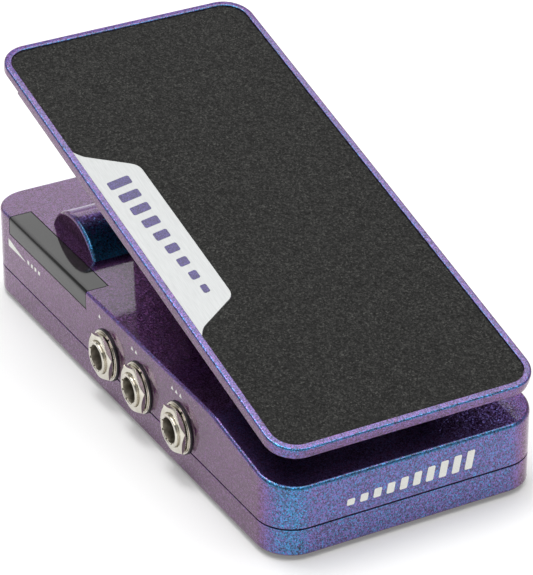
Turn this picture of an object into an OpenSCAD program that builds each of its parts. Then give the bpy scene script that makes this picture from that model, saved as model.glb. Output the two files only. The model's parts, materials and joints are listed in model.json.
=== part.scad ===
/* [Body] */
// Width of the housing across the treadle
body_w = 82; // [80:1:86]
// Length of the housing from heel to toe
body_l = 175; // [173:1:179]
// Radius of the housing's upright corners
corner_r = 10.4; // [9:0.2:12]
// Height of the base cover from its underside to the seam
cover_h = 8.3; // [8:0.1:9]
// Height of the flat top above the cover's underside
top_h = 26.8; // [26.5:0.1:28]
// Height of the top at the heel end above the cover's underside
heel_h = 20.9; // [20:0.1:23]
// Distance from the middle back to where the top starts to slope
bend_back = 52; // [49:1:56]
// Thickness of the cast walls
wall = 2.2; // [2:0.1:2.4]

/* [Feet and cover screws] */
// How far the rubber feet stand out below the cover
foot_h = 1.5; // [1:0.1:2.5]
// Radius of a rubber foot
foot_r = 6; // [5:0.5:6]
// Radius of a small screw's thread
screw_r = 1.5; // [1.2:0.1:1.5]

/* [Jacks] */
// Radius of the hole that takes the plug
plug_r = 3.25; // [3.2:0.01:3.3]
// Outer radius of the jack's threaded bushing
bushing_r = 4.75; // [4.6:0.05:4.85]
// Size of the hexagon nut across its flats
nut_af = 12.7; // [12:0.1:14]
// How far the nuts are turned, in degrees
nut_turn = 44; // [0:1:60]
// Height of the jack axes above the cover's underside
jack_h = 12.9; // [12.6:0.1:13.2]
// Distance ahead of the middle of the foremost left jack
exp_jack_y = 9.8; // [9:0.2:10.6]
// Place of the middle left jack and of the input jack
output_jack_y = -10.3; // [-11.3:0.2:-9.3]
// Place of the rearmost left jack
tuner_jack_y = -34.2; // [-35.2:0.2:-33.2]

/* [Level window] */
// Length of the dark window along the edge
window_l = 51; // [46:1:52]
// Distance ahead of the middle of the window's near end
window_y = 22.5; // [21:0.5:24]
// Width of the window on the top face
window_top_w = 7.3; // [6.8:0.1:7.4]
// Height of the window on the side face
window_side_h = 5.7; // [5:0.1:6.5]

/* [Pivot] */
// Distance of the pivot axis ahead of the middle
pivot_y = 50.4; // [50:0.2:51]
// Height of the pivot axis above the cover's underside
pivot_h = 20.5; // [20.3:0.1:20.8]
// Radius of the round hump that carries the pivot
hump_r = 15; // [14.8:0.1:15.2]
// Half of the hump's length along the axis
hump_half = 31.5; // [31.3:0.1:31.8]
// Radius of the pivot shaft
shaft_r = 4; // [3.8:0.1:4.2]

/* [Treadle] */
// Width of the treadle
treadle_w = 80; // [78:1:82]
// Length of the treadle
treadle_l = 174.4; // [172:0.2:176]
// Corner radius of the treadle
treadle_r = 8.7; // [8:0.1:10]
// Angle of the treadle with the heel down, in degrees
tilt = 14.7; // [14:0.1:15]
// Height of the treadle's top face above the pivot axis
treadle_rise = 46.9; // [46.4:0.1:48]
// Distance of the pivot ahead of the treadle's middle
treadle_back = 43.4; // [43:0.1:44]
// Width of the painted rim around the grip sheet
rim_w = 2.1; // [1.8:0.1:2.6]

/* [Gears] */
// Module of the teeth
tooth_module = 0.8; // [0.7:0.1:0.8]
// Teeth of the full circle that the sector is cut from
sector_teeth = 30; // [30:1:30]
// Teeth of the pinion on the sensor's shaft
pinion_teeth = 10; // [10:1:10]

/* [Hidden] */
$fn = 64;

paint = "#6d6a9c";
nickel = "#c9c5b8";
black = "#1b1b1d";
steel = "#9a9a9c";

// Heights above the floor
cover_z = foot_h;
seam_z = cover_z + cover_h;
seam_gap = 0.3;
top_z = cover_z + top_h;
heel_z = cover_z + heel_h;
jack_z = cover_z + jack_h;
pivot_z = cover_z + pivot_h;
cover_floor = 2;
floor_z = cover_z + cover_floor;
half_l = body_l / 2;
inner_w = body_w - 2 * wall;
inner_l = body_l - 2 * wall;
inner_r = corner_r - wall;
inner_x = inner_w / 2;

// Corner screws of the cover and the posts that take them
post_x = 33.5;
post_y = 79;
post_r = 4;
post_screw_top = 16.5;
head_r = 2.9;
head_h = 1.6;

// Feet
foot_x = 31;
foot_y = 70;
foot_sunk = 0.6;

// Main board
board_z = floor_z + 3.5;
board_t = 1.6;
board_top = board_z + board_t;
board_w = 73;
board_back = -73;
board_front = 70;
standoff_r = 3.2;
standoffs = [[-32, -66], [32, -66], [-20, 64], [20, 64]];

// Jack: stack on the outside of the wall, and the body inside
gasket_t = 0.5;
washer_t = 0.6;
nut_t = 1.6;
bushing_proud = 0.8;
gasket_r = 7.6;
washer_r = 7.4;
jack_body_l = 24;
jack_body_w = 14;
jack_body_top = jack_z + 7;
plug_depth = 28.4;
wall_hole_gap = 0.15;
wrench_notches = 8;
stack_t = gasket_t + washer_t + nut_t;
bushing_out = stack_t + bushing_proud;

// Low-voltage socket and trim control on the right side
dc_y = 18;
dc_z = 15.5;
dc_nose_r = 5.4;
dc_hole_r = 3;
dc_depth = 9.5;
dc_pin_r = 1.05;
dc_out = 1.8;
trim_y = 62;
trim_shaft_r = 2.95;
trim_bore_r = 3.0;
trim_body = 10;
trim_knob_r = 5;
trim_knob_t = 3.8;

// Level window, its light slot, its board and its lamps
window_t = 1.8;
chip_count = 12;
light_slot_w = 2.5;
led_board_z = 23.6;
led_board_t = 0.8;
led_board_w = 4.6;

// Hump: slot for the treadle's neck, gear pocket, bearing, and end wall
slot_half = 15;
slot_wall = 2;
pocket_r = 13.05;
saddle_in = 21.5;
bearing_in = 22;
bearing_out = 27.5;
bearing_r = 5.5;
hump_end_wall = 2;
hump_edge_r = 1.2;
running_gap = 0.05;
clip_r = 6.2;
clip_t = 0.8;
clip_in = bearing_out + 0.2;
clip_pocket_r = 7;
shaft_half = hump_half - hump_end_wall - 0.2;
cap_half_y = 10.8;
cap_drop = 8;
cap_screw_y = 8.3;
cap_screw_x = (bearing_in + bearing_out) / 2;
cap_screw_up = 6;
knuckle_half = slot_half - 0.3;
knuckle_r = hump_r - 0.3;
knuckle_hub_r = 8;

// Gears: the pinion sits behind and below the pivot
pressure_angle = 25;
addendum = 0.72;
dedendum = 1.0;
tooth_play = 0.12;
sector_pitch_r = tooth_module * sector_teeth / 2;
pinion_pitch_r = tooth_module * pinion_teeth / 2;
gear_distance = sector_pitch_r + pinion_pitch_r;
mesh_angle = 205;
pinion_y = pivot_y + gear_distance * cos(mesh_angle);
pinion_z = pivot_z + gear_distance * sin(mesh_angle);
gear_x = -21.3;
gear_t = 3;
hub_r = 6.5;
sensor_r = 5.7;
sensor_x = -17.6;
sensor_l = 9;
sensor_shaft_r = 2.0;

// Treadle layers, measured down from its top face
plate_t = 2.5;
skirt_t = 1.2;
skirt_w = 2.2;
skirt_inset = 0.2;
skirt_start = 16;
grip_recess = 0.9;
grip_t = 0.55;
label_t = 0.5;
grip_gap = 0.1;
rib_w = 2;
neck_stem = 9;
flange_t = 4;
flange_w = 46;
flange_back = 30;
flange_front = 26;
neck_screw_x = 18;
bumper_x = 22;
bumper_u = -62;
bumper_l = 10.9;
bumper_r = 4;

// Label tab in the grip sheet, along the left rim
label_in_x = -22.6;
label_half = 38;
label_half_in = 28.4;
label_corner = 4.2;

// ---- shared shapes ----

// Flat rectangle with round corners, centred
module round_rect(w, l, r) {
    square([w - 2 * r, l], center = true);
    square([w, l - 2 * r], center = true);
    for (sx = [-1, 1], sy = [-1, 1])
        translate([sx * (w / 2 - r), sy * (l / 2 - r)]) circle(r);
}

// Round-cornered slab between two heights
module slab(w, l, r, z0, z1) {
    translate([0, 0, z0]) linear_extrude(z1 - z0) round_rect(w, l, r);
}

// Extrudes a side view, drawn as Y and Z, from x0 to x1
module along_x(x0, x1) {
    translate([x0, 0, 0]) rotate([90, 0, 90]) linear_extrude(x1 - x0) children();
}

// Cylinder along X at a place in the side view
module rod_x(x0, x1, y, z, r) {
    translate([x0, y, z]) rotate([0, 90, 0]) cylinder(h = x1 - x0, r = r);
}

// Upright cylinder between two heights
module post(x, y, z0, z1, r) {
    translate([x, y, z0]) cylinder(h = z1 - z0, r = r);
}

// Everything of the treadle, from its own frame to its place with the heel down
module on_treadle() {
    translate([0, pivot_y, pivot_z]) rotate([tilt, 0, 0])
        translate([0, -treadle_back, treadle_rise]) children();
}

// Countersunk screw, head down, from height z0 up to z1
module sunk_screw(x, y, z0, z1) {
    translate([x, y, z0]) cylinder(h = head_h, r1 = head_r, r2 = screw_r);
    post(x, y, z0 + head_h, z1, screw_r);
}

module four(x, y) {
    for (sx = [-1, 1], sy = [-1, 1]) translate([sx * x, sy * y, 0]) children();
}

// ---- housing ----

// Side view of the housing, let down by a margin from its top faces
module side_view(drop) {
    polygon([[-half_l, seam_z], [half_l, seam_z], [half_l, top_z - drop],
        [-bend_back, top_z - drop], [-half_l, heel_z - drop]]);
}

module housing_block(w, l, r, drop) {
    intersection() {
        slab(w, l, r, seam_z, top_z - drop);
        along_x(-body_w, body_w) side_view(drop);
    }
}

// Hump from the slot's edge outwards, with a rounded outer edge
module hump(side) {
    intersection() {
        translate([side * slot_half, pivot_y, pivot_z]) rotate([0, side * 90, 0])
            rotate_extrude() hump_profile();
        translate([-body_w / 2, pivot_y - hump_r, pivot_z])
            cube([body_w, 2 * hump_r, hump_r]);
    }
}

module hump_profile() {
    length = hump_half - slot_half;
    square([hump_r, length - hump_edge_r]);
    square([hump_r - hump_edge_r, length]);
    translate([hump_r - hump_edge_r, length - hump_edge_r]) circle(hump_edge_r);
}

// Room inside one side of the hump for gear, bushing and clip
module hump_room(x0, x1, r) {
    for (side = [0, 1]) mirror([side, 0, 0]) rod_x(x0, x1, pivot_y, pivot_z, r);
}

module window_shape(y0, y1) {
    left = -body_w / 2;
    along = y1 - y0;
    translate([left, y0, top_z - window_t]) cube([window_top_w, along, window_t]);
    translate([left, y0, top_z - window_side_h]) cube([window_t, along, window_side_h - window_t]);
}

// Holes for the jacks' bushings; their lowest part dips into the cover's lip
module jack_holes() {
    for (y = [exp_jack_y, output_jack_y, tuner_jack_y])
        rod_x(-body_w, 0, y, jack_z, bushing_r + wall_hole_gap);
    rod_x(0, body_w, output_jack_y, jack_z, bushing_r + wall_hole_gap);
}

module upper_housing() {
    color(paint) difference() {
        union() {
            difference() {
                housing_block(body_w, body_l, corner_r, 0);
                housing_block(inner_w, inner_l, inner_r, wall);
            }
            hump(-1);
            hump(1);
            intersection() {
                four(post_x, post_y) post(0, 0, seam_z, top_z, post_r);
                housing_block(body_w, body_l, corner_r, 0);
            }
        }
        four(post_x, post_y) post(0, 0, seam_z, post_screw_top, screw_r);
        jack_holes();
        rod_x(0, body_w, dc_y, dc_z, dc_nose_r + wall_hole_gap);
        rod_x(inner_x - 1, body_w, trim_y, jack_z, trim_bore_r + 0.4);
        window_shape(window_y, window_y + window_l);
        translate([-38, window_y + 3.5, top_z - wall])
            cube([light_slot_w, window_l - 7, wall]);
        rod_x(-slot_half, slot_half, pivot_y, pivot_z, hump_r);
        hump_room(slot_half, slot_half + slot_wall, shaft_r + 0.6);
        hump_room(slot_half + slot_wall, saddle_in, pocket_r);
        hump_room(saddle_in, bearing_out, bearing_r);
        hump_room(bearing_out, hump_half - hump_end_wall, clip_pocket_r);
        for (sx = [-1, 1], sy = [-1, 1])
            post(sx * cap_screw_x, pivot_y + sy * cap_screw_y, pivot_z, pivot_z + cap_screw_up, screw_r);
    }
}

module base_cover() {
    lip = 0.6;
    color(paint) difference() {
        union() {
            difference() {
                union() {
                    slab(body_w, body_l, corner_r, cover_z, seam_z - seam_gap);
                    slab(body_w - 2 * lip, body_l - 2 * lip, corner_r - lip, cover_z, seam_z);
                }
                slab(inner_w, inner_l, inner_r, floor_z, seam_z);
            }
            intersection() {
                four(post_x, post_y) post(0, 0, cover_z, seam_z, post_r);
                slab(body_w - 2 * lip, body_l - 2 * lip, corner_r - lip, cover_z, seam_z);
            }
            for (p = standoffs) post(p[0], p[1], floor_z, board_z, standoff_r);
        }
        four(post_x, post_y) {
            translate([0, 0, cover_z]) cylinder(h = head_h, r1 = head_r, r2 = screw_r);
            post(0, 0, cover_z, seam_z, screw_r);
        }
        four(foot_x, foot_y) post(0, 0, 0, cover_z + foot_sunk, foot_r);
        jack_holes();
        for (p = standoffs) post(p[0], p[1], floor_z, board_z, screw_r);
    }
}

module base_screws() {
    color(steel) four(post_x, post_y) difference() {
        sunk_screw(0, 0, cover_z, post_screw_top - 0.5);
        post(0, 0, 0, cover_z + 0.9, 1.1, $fn = 6);
    }
}

module rubber_feet() {
    color(black) four(foot_x, foot_y) {
        post(0, 0, 0.5, cover_z + foot_sunk, foot_r);
        cylinder(h = 0.5, r1 = foot_r - 0.5, r2 = foot_r);
    }
}

// ---- level window ----

module led_window() {
    color("#5f5f5d") window_shape(window_y, window_y + window_l);
}

module led_board() {
    color("#14532d") translate([-inner_x, window_y + 1.5, led_board_z])
        cube([led_board_w, window_l - 3, led_board_t]);
}

module led_chips() {
    pitch = (window_l - 8) / chip_count;
    color("#e8e6d8") for (i = [0 : chip_count - 1])
        translate([-37.6, window_y + 4 + pitch * (i + 0.25), led_board_z + led_board_t])
            cube([1.6, pitch / 2, 0.8]);
}

// ---- boards ----

module main_board() {
    color("#14532d") difference() {
        translate([-board_w / 2, board_back, board_z])
            cube([board_w, board_front - board_back, board_t]);
        for (p = standoffs) post(p[0], p[1], board_z, board_top, screw_r);
    }
}

module board_screws() {
    color(steel) for (p = standoffs) difference() {
        union() {
            post(p[0], p[1], floor_z + 0.3, board_top, screw_r);
            post(p[0], p[1], board_top, board_top + 1.5, 2.7);
        }
        post(p[0], p[1], board_top + 0.7, board_top + 2, 1.1, $fn = 6);
    }
}

// ---- jacks: drawn for the left wall; side 1 mirrors them to the right ----

module at_jack(side, y) {
    mirror([side > 0 ? 1 : 0, 0, 0]) translate([-body_w / 2, y, jack_z]) children();
}

module jack_body(side, y) {
    color(black) at_jack(side, y) difference() {
        translate([wall, -jack_body_w / 2, board_top - jack_z])
            cube([jack_body_l, jack_body_w, jack_body_top - board_top]);
        rod_x(wall, plug_depth - bushing_out, 0, 0, plug_r);
    }
}

module jack_bushing(side, y) {
    mouth = 0.5;
    color(nickel) at_jack(side, y) difference() {
        rod_x(-bushing_out, wall, 0, 0, bushing_r);
        rod_x(-bushing_out, wall, 0, 0, plug_r);
        translate([-bushing_out, 0, 0]) rotate([0, 90, 0])
            cylinder(h = mouth, r1 = plug_r + mouth, r2 = plug_r);
        for (i = [0 : wrench_notches - 1])
            rotate([i * 360 / wrench_notches, 0, 0])
                translate([-bushing_out, -0.35, bushing_r - 0.5]) cube([0.7, 0.7, 1]);
    }
}

module jack_nut(side, y) {
    hex_r = nut_af / sqrt(3);
    color(nickel) at_jack(side, y) difference() {
        intersection() {
            translate([-stack_t, 0, 0]) rotate([0, 90, 0])
                rotate([0, 0, 90 + nut_turn]) cylinder(h = nut_t, r = hex_r, $fn = 6);
            translate([-stack_t, 0, 0]) rotate([0, 90, 0])
                cylinder(h = nut_t, r1 = nut_af / 2 + 0.1, r2 = nut_af / 2 + 0.1 + nut_t * 1.6);
        }
        rod_x(-stack_t, -stack_t + nut_t, 0, 0, bushing_r);
    }
}

module jack_washers(side, y) {
    color(nickel) at_jack(side, y) difference() {
        union() {
            rod_x(-gasket_t - washer_t, -gasket_t - washer_t / 2, 0, 0, washer_r - 0.5);
            rod_x(-gasket_t - washer_t / 2, -gasket_t, 0, 0, washer_r);
        }
        rod_x(-gasket_t - washer_t, -gasket_t, 0, 0, bushing_r);
    }
}

module jack_gasket(side, y) {
    color(black) at_jack(side, y) difference() {
        rod_x(-gasket_t, 0, 0, 0, gasket_r);
        rod_x(-gasket_t, 0, 0, 0, bushing_r);
    }
}

// ---- right side: supply socket and trim control ----

module dc_socket() {
    body_x = inner_x - 11.8;
    color(black) difference() {
        union() {
            translate([body_x, dc_y - 5.5, board_top])
                cube([inner_x - body_x, 11, dc_z + 5.5 - board_top]);
            rod_x(inner_x, inner_x + dc_out, dc_y, dc_z, dc_nose_r);
        }
        rod_x(inner_x + dc_out - dc_depth, inner_x + dc_out, dc_y, dc_z, dc_hole_r);
    }
}

module dc_pin() {
    start = inner_x + dc_out - dc_depth;
    color(nickel) rod_x(start, start + dc_depth - 1, dc_y, dc_z, dc_pin_r);
}

module trim_pot() {
    color("#2b4b7a") difference() {
        translate([inner_x - 8, trim_y - trim_body / 2, board_top])
            cube([8, trim_body, jack_z + trim_body / 2 - board_top]);
        rod_x(inner_x - 6, inner_x, trim_y, jack_z, trim_bore_r);
    }
}

module trim_knob() {
    face = body_w / 2 + 0.4;
    color(black) difference() {
        union() {
            rod_x(inner_x - 5.7, face, trim_y, jack_z, trim_shaft_r);
            rod_x(face, face + trim_knob_t, trim_y, jack_z, trim_knob_r);
        }
        translate([face + trim_knob_t - 0.8, trim_y - 0.5, jack_z])
            cube([0.8, 1, trim_knob_r]);
        for (i = [0 : 17])
            translate([0, trim_y, jack_z]) rotate([i * 20, 0, 0])
                translate([face + 0.8, trim_knob_r - 0.3, -0.3])
                    cube([trim_knob_t, 0.6, 0.6]);
    }
}

// ---- pivot ----

module bearing_bushing(side) {
    color("#b08d57") mirror([side > 0 ? 1 : 0, 0, 0]) difference() {
        rod_x(-bearing_out, -bearing_in, pivot_y, pivot_z, bearing_r);
        rod_x(-bearing_out, -bearing_in, pivot_y, pivot_z, shaft_r + running_gap);
    }
}

module bearing_cap(side) {
    color(steel) mirror([side > 0 ? 1 : 0, 0, 0]) difference() {
        translate([-bearing_out, pivot_y - cap_half_y, pivot_z - cap_drop])
            cube([bearing_out - bearing_in, 2 * cap_half_y, cap_drop]);
        rod_x(-bearing_out, -bearing_in, pivot_y, pivot_z, bearing_r);
        for (sy = [-1, 1])
            post(-cap_screw_x, pivot_y + sy * cap_screw_y, pivot_z - cap_drop, pivot_z, screw_r);
    }
}

module cap_screws() {
    low = pivot_z - cap_drop;
    color(steel) for (sx = [-1, 1], sy = [-1, 1]) difference() {
        union() {
            post(sx * cap_screw_x, pivot_y + sy * cap_screw_y, low, pivot_z + cap_screw_up, screw_r);
            post(sx * cap_screw_x, pivot_y + sy * cap_screw_y, low - 1.6, low, 2.4);
        }
        post(sx * cap_screw_x, pivot_y + sy * cap_screw_y, low - 2, low - 0.8, 1.1, $fn = 6);
    }
}

module pivot_shaft() {
    color(steel) rod_x(-shaft_half, shaft_half, pivot_y, pivot_z, shaft_r);
}

module shaft_clips() {
    color(steel) for (side = [0, 1]) mirror([side, 0, 0]) difference() {
        rod_x(clip_in, clip_in + clip_t, pivot_y, pivot_z, clip_r);
        rod_x(clip_in, clip_in + clip_t, pivot_y, pivot_z, shaft_r);
    }
}

// ---- gears ----

function involute(base_r, angle) =
    base_r * [cos(angle) + angle * PI / 180 * sin(angle), sin(angle) - angle * PI / 180 * cos(angle)];
function turned(p, angle) =
    [p[0] * cos(angle) - p[1] * sin(angle), p[0] * sin(angle) + p[1] * cos(angle)];
// Roll angle at which the involute reaches radius r
function roll_at(base_r, r) = sqrt(max(0, pow(r / base_r, 2) - 1)) * 180 / PI;
// Polar angle of the involute at radius r
function lean_at(base_r, r) = roll_at(base_r, r) - atan(roll_at(base_r, r) * PI / 180);

// One tooth, centred on the X axis, from just below its root circle
module tooth(teeth) {
    pitch_r = tooth_module * teeth / 2;
    base_r = pitch_r * cos(pressure_angle);
    tip_r = pitch_r + addendum;
    root_r = pitch_r - dedendum;
    half = 90 / teeth - tooth_play / 2 / pitch_r * 180 / PI + lean_at(base_r, pitch_r);
    start_r = max(base_r, root_r);
    steps = 6;
    flank = [for (i = [0 : steps])
        turned(involute(base_r, roll_at(base_r, start_r + (tip_r - start_r) * i / steps)), -half)];
    other = [for (i = [steps : -1 : 0]) [flank[i][0], -flank[i][1]]];
    foot = (root_r - 0.3) * [cos(half), -sin(half)];
    polygon(concat([foot], flank, other, [[foot[0], -foot[1]]]));
}

// Sector: hub, arm and teeth, turned so that it meshes with the pinion at rest
module sector_gear() {
    root_r = sector_pitch_r - dedendum;
    first = -1;
    last = 3;
    step = 360 / sector_teeth;
    reach = root_r / cos((last - first + 1) * step / 2);
    low = mesh_angle + (first - 0.36) * step;
    high = mesh_angle + (last + 0.36) * step;
    color("#d8d4c8") difference() {
        along_x(gear_x, gear_x + gear_t) translate([pivot_y, pivot_z]) {
            circle(hub_r);
            intersection() {
                circle(root_r);
                polygon([[0, 0], reach * [cos(low), sin(low)], reach * [cos(high), sin(high)]]);
            }
            for (i = [first : last]) rotate(mesh_angle + i * step) tooth(sector_teeth);
        }
        rod_x(gear_x, gear_x + gear_t, pivot_y, pivot_z, shaft_r);
        translate([gear_x + gear_t / 2, pivot_y, pivot_z]) rotate([tilt, 0, 0])
            cylinder(h = hub_r + 1, r = 1);
    }
}

module sector_set_screw() {
    color(steel) translate([gear_x + gear_t / 2, pivot_y, pivot_z]) rotate([tilt, 0, 0])
        difference() {
            translate([0, 0, shaft_r]) cylinder(h = hub_r - shaft_r - 0.4, r = 1);
            translate([0, 0, hub_r - 1.4]) cylinder(h = 2, r = 0.5, $fn = 6);
        }
}

module pinion_gear() {
    step = 360 / pinion_teeth;
    color("#d8d4c8") difference() {
        along_x(gear_x, gear_x + gear_t) translate([pinion_y, pinion_z]) {
            circle(pinion_pitch_r - dedendum);
            for (i = [0 : pinion_teeth - 1])
                rotate(mesh_angle + 180 + (i + 0.5) * step) tooth(pinion_teeth);
        }
        rod_x(gear_x, gear_x + gear_t, pinion_y, pinion_z, sensor_shaft_r);
    }
}

module sensor_shaft() {
    color(steel) rod_x(gear_x - 0.4, sensor_x + sensor_l - 2, pinion_y, pinion_z, sensor_shaft_r);
}

module sensor_body() {
    color("#2b4b7a") difference() {
        union() {
            rod_x(sensor_x, sensor_x + sensor_l, pinion_y, pinion_z, sensor_r);
            translate([sensor_x, pinion_y - sensor_r, board_top])
                cube([sensor_l, 2 * sensor_r, pinion_z - board_top]);
        }
        rod_x(sensor_x, sensor_x + sensor_l - 1.8, pinion_y, pinion_z, sensor_shaft_r + running_gap);
    }
}

// ---- treadle, drawn in its own frame: Z is 0 on the top face, Y towards the toe ----

module treadle_plate() {
    rim_in_w = treadle_w - 2 * rim_w;
    rim_in_l = treadle_l - 2 * rim_w;
    low = -plate_t - skirt_t;
    color("#8386bd") on_treadle() difference() {
        union() {
            slab(treadle_w, treadle_l, treadle_r, -plate_t, 0);
            intersection() {
                union() {
                    difference() {
                        slab(treadle_w - 2 * skirt_inset, treadle_l - 2 * skirt_inset,
                            treadle_r - skirt_inset, low, -plate_t);
                        slab(treadle_w - 2 * skirt_w, treadle_l - 2 * skirt_w,
                            treadle_r - skirt_w, low, -plate_t);
                    }
                    for (u = [-46, -20]) translate([-treadle_w / 2 + 1, u, low])
                        cube([treadle_w - 2, rib_w, skirt_t]);
                    for (x = [-31, 31]) translate([x - rib_w / 2, -treadle_l / 2 + 1, low])
                        cube([rib_w, treadle_l - 2, skirt_t]);
                }
                translate([-treadle_w / 2, -treadle_l / 2, low])
                    cube([treadle_w, treadle_l - skirt_start, skirt_t]);
            }
        }
        slab(rim_in_w, rim_in_l, treadle_r - rim_w, -grip_recess, 0);
        neck_screw_places() neck_screw_sink();
    }
}

// The label's tab shape, grown outwards by a gap
module label_shape(gap) {
    rim_x = -treadle_w / 2 + rim_w;
    r = label_corner;
    slope = (label_half - label_half_in) / (label_in_x - rim_x);
    intersection() {
        offset(r = gap) offset(r = r) offset(r = -r)
            polygon([[rim_x - 8, label_half + 8 * slope], [rim_x - 8, -label_half - 8 * slope],
                [label_in_x, -label_half_in], [label_in_x, label_half_in]]);
        round_rect(treadle_w - 2 * rim_w - 2 * grip_gap, treadle_l - 2 * rim_w - 2 * grip_gap,
            treadle_r - rim_w - grip_gap);
    }
}

module grip_pad() {
    color("#262624") on_treadle() translate([0, 0, -grip_recess]) linear_extrude(grip_t)
        difference() {
            round_rect(treadle_w - 2 * rim_w - 2 * grip_gap, treadle_l - 2 * rim_w - 2 * grip_gap,
                treadle_r - rim_w - grip_gap);
            label_shape(grip_gap);
        }
}

module label_plate() {
    color("#e3e5e4") on_treadle() translate([0, 0, -grip_recess]) linear_extrude(label_t)
        label_shape(0);
}

// Screws from the plate's recess down into the neck's flange
module neck_screw_places() {
    for (sx = [-1, 1], u = [treadle_back - flange_back + 6, treadle_back + flange_front - 6])
        translate([sx * neck_screw_x, u, 0]) children();
}

module neck_screw_sink() {
    translate([0, 0, -plate_t]) cylinder(h = plate_t - grip_recess, r1 = 1.5, r2 = 2.9);
    translate([0, 0, -plate_t - flange_t]) cylinder(h = flange_t, r = screw_r);
}

module neck_screws() {
    color(steel) on_treadle() neck_screw_places() difference() {
        neck_screw_sink();
        translate([0, 0, -grip_recess - 0.8]) cylinder(h = 1, r = 1, $fn = 6);
    }
}

// Side view of the neck's stem about the pivot: it widens up to the flange
module neck_side() {
    under = treadle_rise - plate_t - flange_t;
    polygon([[-8.5, 4], [8.5, 4], [flange_front - 10, under], [-flange_back + 10, under]]);
}

// Side view of the drum that keeps the housing's slot closed over the whole travel
module neck_drum() {
    circle(knuckle_hub_r);
    intersection() {
        circle(knuckle_r);
        polygon([[-knuckle_r, 4], [knuckle_r, 2], [knuckle_r, knuckle_r], [-knuckle_r, knuckle_r]]);
    }
}

module treadle_neck() {
    rise = treadle_rise - plate_t;
    color(paint) translate([0, pivot_y, pivot_z]) rotate([tilt, 0, 0]) difference() {
        union() {
            along_x(-knuckle_half, knuckle_half) neck_drum();
            along_x(-neck_stem, neck_stem) neck_side();
            translate([-flange_w / 2, -flange_back, rise - flange_t])
                cube([flange_w, flange_back + flange_front, flange_t]);
        }
        rod_x(-body_w, body_w, 0, 0, shaft_r);
        rotate([180, 0, 0]) cylinder(h = knuckle_hub_r + 1, r = 2.5);
        translate([0, -treadle_back, treadle_rise]) neck_screw_places() neck_screw_sink();
    }
}

module neck_set_screw() {
    color(steel) translate([0, pivot_y, pivot_z]) rotate([tilt + 180, 0, 0]) difference() {
        translate([0, 0, shaft_r]) cylinder(h = knuckle_hub_r - shaft_r - 0.8, r = 2.5);
        translate([0, 0, knuckle_hub_r - 2.4]) cylinder(h = 2, r = 1.25, $fn = 6);
    }
}

module heel_bumpers() {
    color(black) on_treadle() for (sx = [-1, 1]) translate([sx * bumper_x, bumper_u, -plate_t])
        mirror([0, 0, 1]) cylinder(h = bumper_l, r1 = bumper_r + 1, r2 = bumper_r);
}

base_cover();
upper_housing();
base_screws();
rubber_feet();
led_window();
led_board();
led_chips();
main_board();
board_screws();
jack_body(-1, exp_jack_y);  // exp_jack_body
jack_bushing(-1, exp_jack_y);  // exp_jack_bushing
jack_nut(-1, exp_jack_y);  // exp_jack_nut
jack_washers(-1, exp_jack_y);  // exp_jack_washers
jack_gasket(-1, exp_jack_y);  // exp_jack_gasket
jack_body(-1, output_jack_y);  // output_jack_body
jack_bushing(-1, output_jack_y);  // output_jack_bushing
jack_nut(-1, output_jack_y);  // output_jack_nut
jack_washers(-1, output_jack_y);  // output_jack_washers
jack_gasket(-1, output_jack_y);  // output_jack_gasket
jack_body(-1, tuner_jack_y);  // tuner_jack_body
jack_bushing(-1, tuner_jack_y);  // tuner_jack_bushing
jack_nut(-1, tuner_jack_y);  // tuner_jack_nut
jack_washers(-1, tuner_jack_y);  // tuner_jack_washers
jack_gasket(-1, tuner_jack_y);  // tuner_jack_gasket
jack_body(1, output_jack_y);  // input_jack_body
jack_bushing(1, output_jack_y);  // input_jack_bushing
jack_nut(1, output_jack_y);  // input_jack_nut
jack_washers(1, output_jack_y);  // input_jack_washers
jack_gasket(1, output_jack_y);  // input_jack_gasket
dc_socket();
dc_pin();
trim_pot();
trim_knob();
bearing_bushing(-1);  // left_bushing
bearing_bushing(1);  // right_bushing
bearing_cap(-1);  // left_bearing_cap
bearing_cap(1);  // right_bearing_cap
cap_screws();
pivot_shaft();
shaft_clips();
sector_gear();
sector_set_screw();
sensor_body();
sensor_shaft();
pinion_gear();
treadle_neck();
neck_set_screw();
neck_screws();
treadle_plate();
grip_pad();
label_plate();
heel_bumpers();
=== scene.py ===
import json
import math

import bmesh
import bpy
from mathutils import Matrix, Vector, noise


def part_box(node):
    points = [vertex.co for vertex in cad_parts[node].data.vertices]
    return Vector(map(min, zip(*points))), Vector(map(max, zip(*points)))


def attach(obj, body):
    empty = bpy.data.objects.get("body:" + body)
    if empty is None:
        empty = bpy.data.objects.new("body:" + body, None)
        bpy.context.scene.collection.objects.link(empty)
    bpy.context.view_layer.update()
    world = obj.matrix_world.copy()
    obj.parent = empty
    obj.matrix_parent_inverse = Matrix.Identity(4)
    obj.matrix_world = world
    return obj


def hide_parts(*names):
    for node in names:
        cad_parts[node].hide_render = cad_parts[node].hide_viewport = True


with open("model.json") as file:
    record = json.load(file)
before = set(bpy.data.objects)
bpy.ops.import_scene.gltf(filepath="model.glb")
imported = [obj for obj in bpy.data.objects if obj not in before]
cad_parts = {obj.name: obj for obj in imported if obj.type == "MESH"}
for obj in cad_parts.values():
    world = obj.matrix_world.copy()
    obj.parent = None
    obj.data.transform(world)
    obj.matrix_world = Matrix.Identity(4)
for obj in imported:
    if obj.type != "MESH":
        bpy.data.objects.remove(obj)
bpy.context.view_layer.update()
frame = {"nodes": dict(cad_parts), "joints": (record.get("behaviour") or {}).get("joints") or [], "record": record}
scene = bpy.context.scene
record = frame["record"]
nodes = frame["nodes"]

# ---------------------------------------------------------------------------
# Sizes in millimetres, read from the frame where it has them
# ---------------------------------------------------------------------------

MM = 0.001


def node_box(node):
    """Lowest and highest corner of a CAD node, in millimetres."""
    low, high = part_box(node)
    return low / MM, high / MM


cover_low, cover_high = node_box("base_cover")
house_low, house_high = node_box("upper_housing")
window_low, window_high = node_box("led_window")

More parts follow.
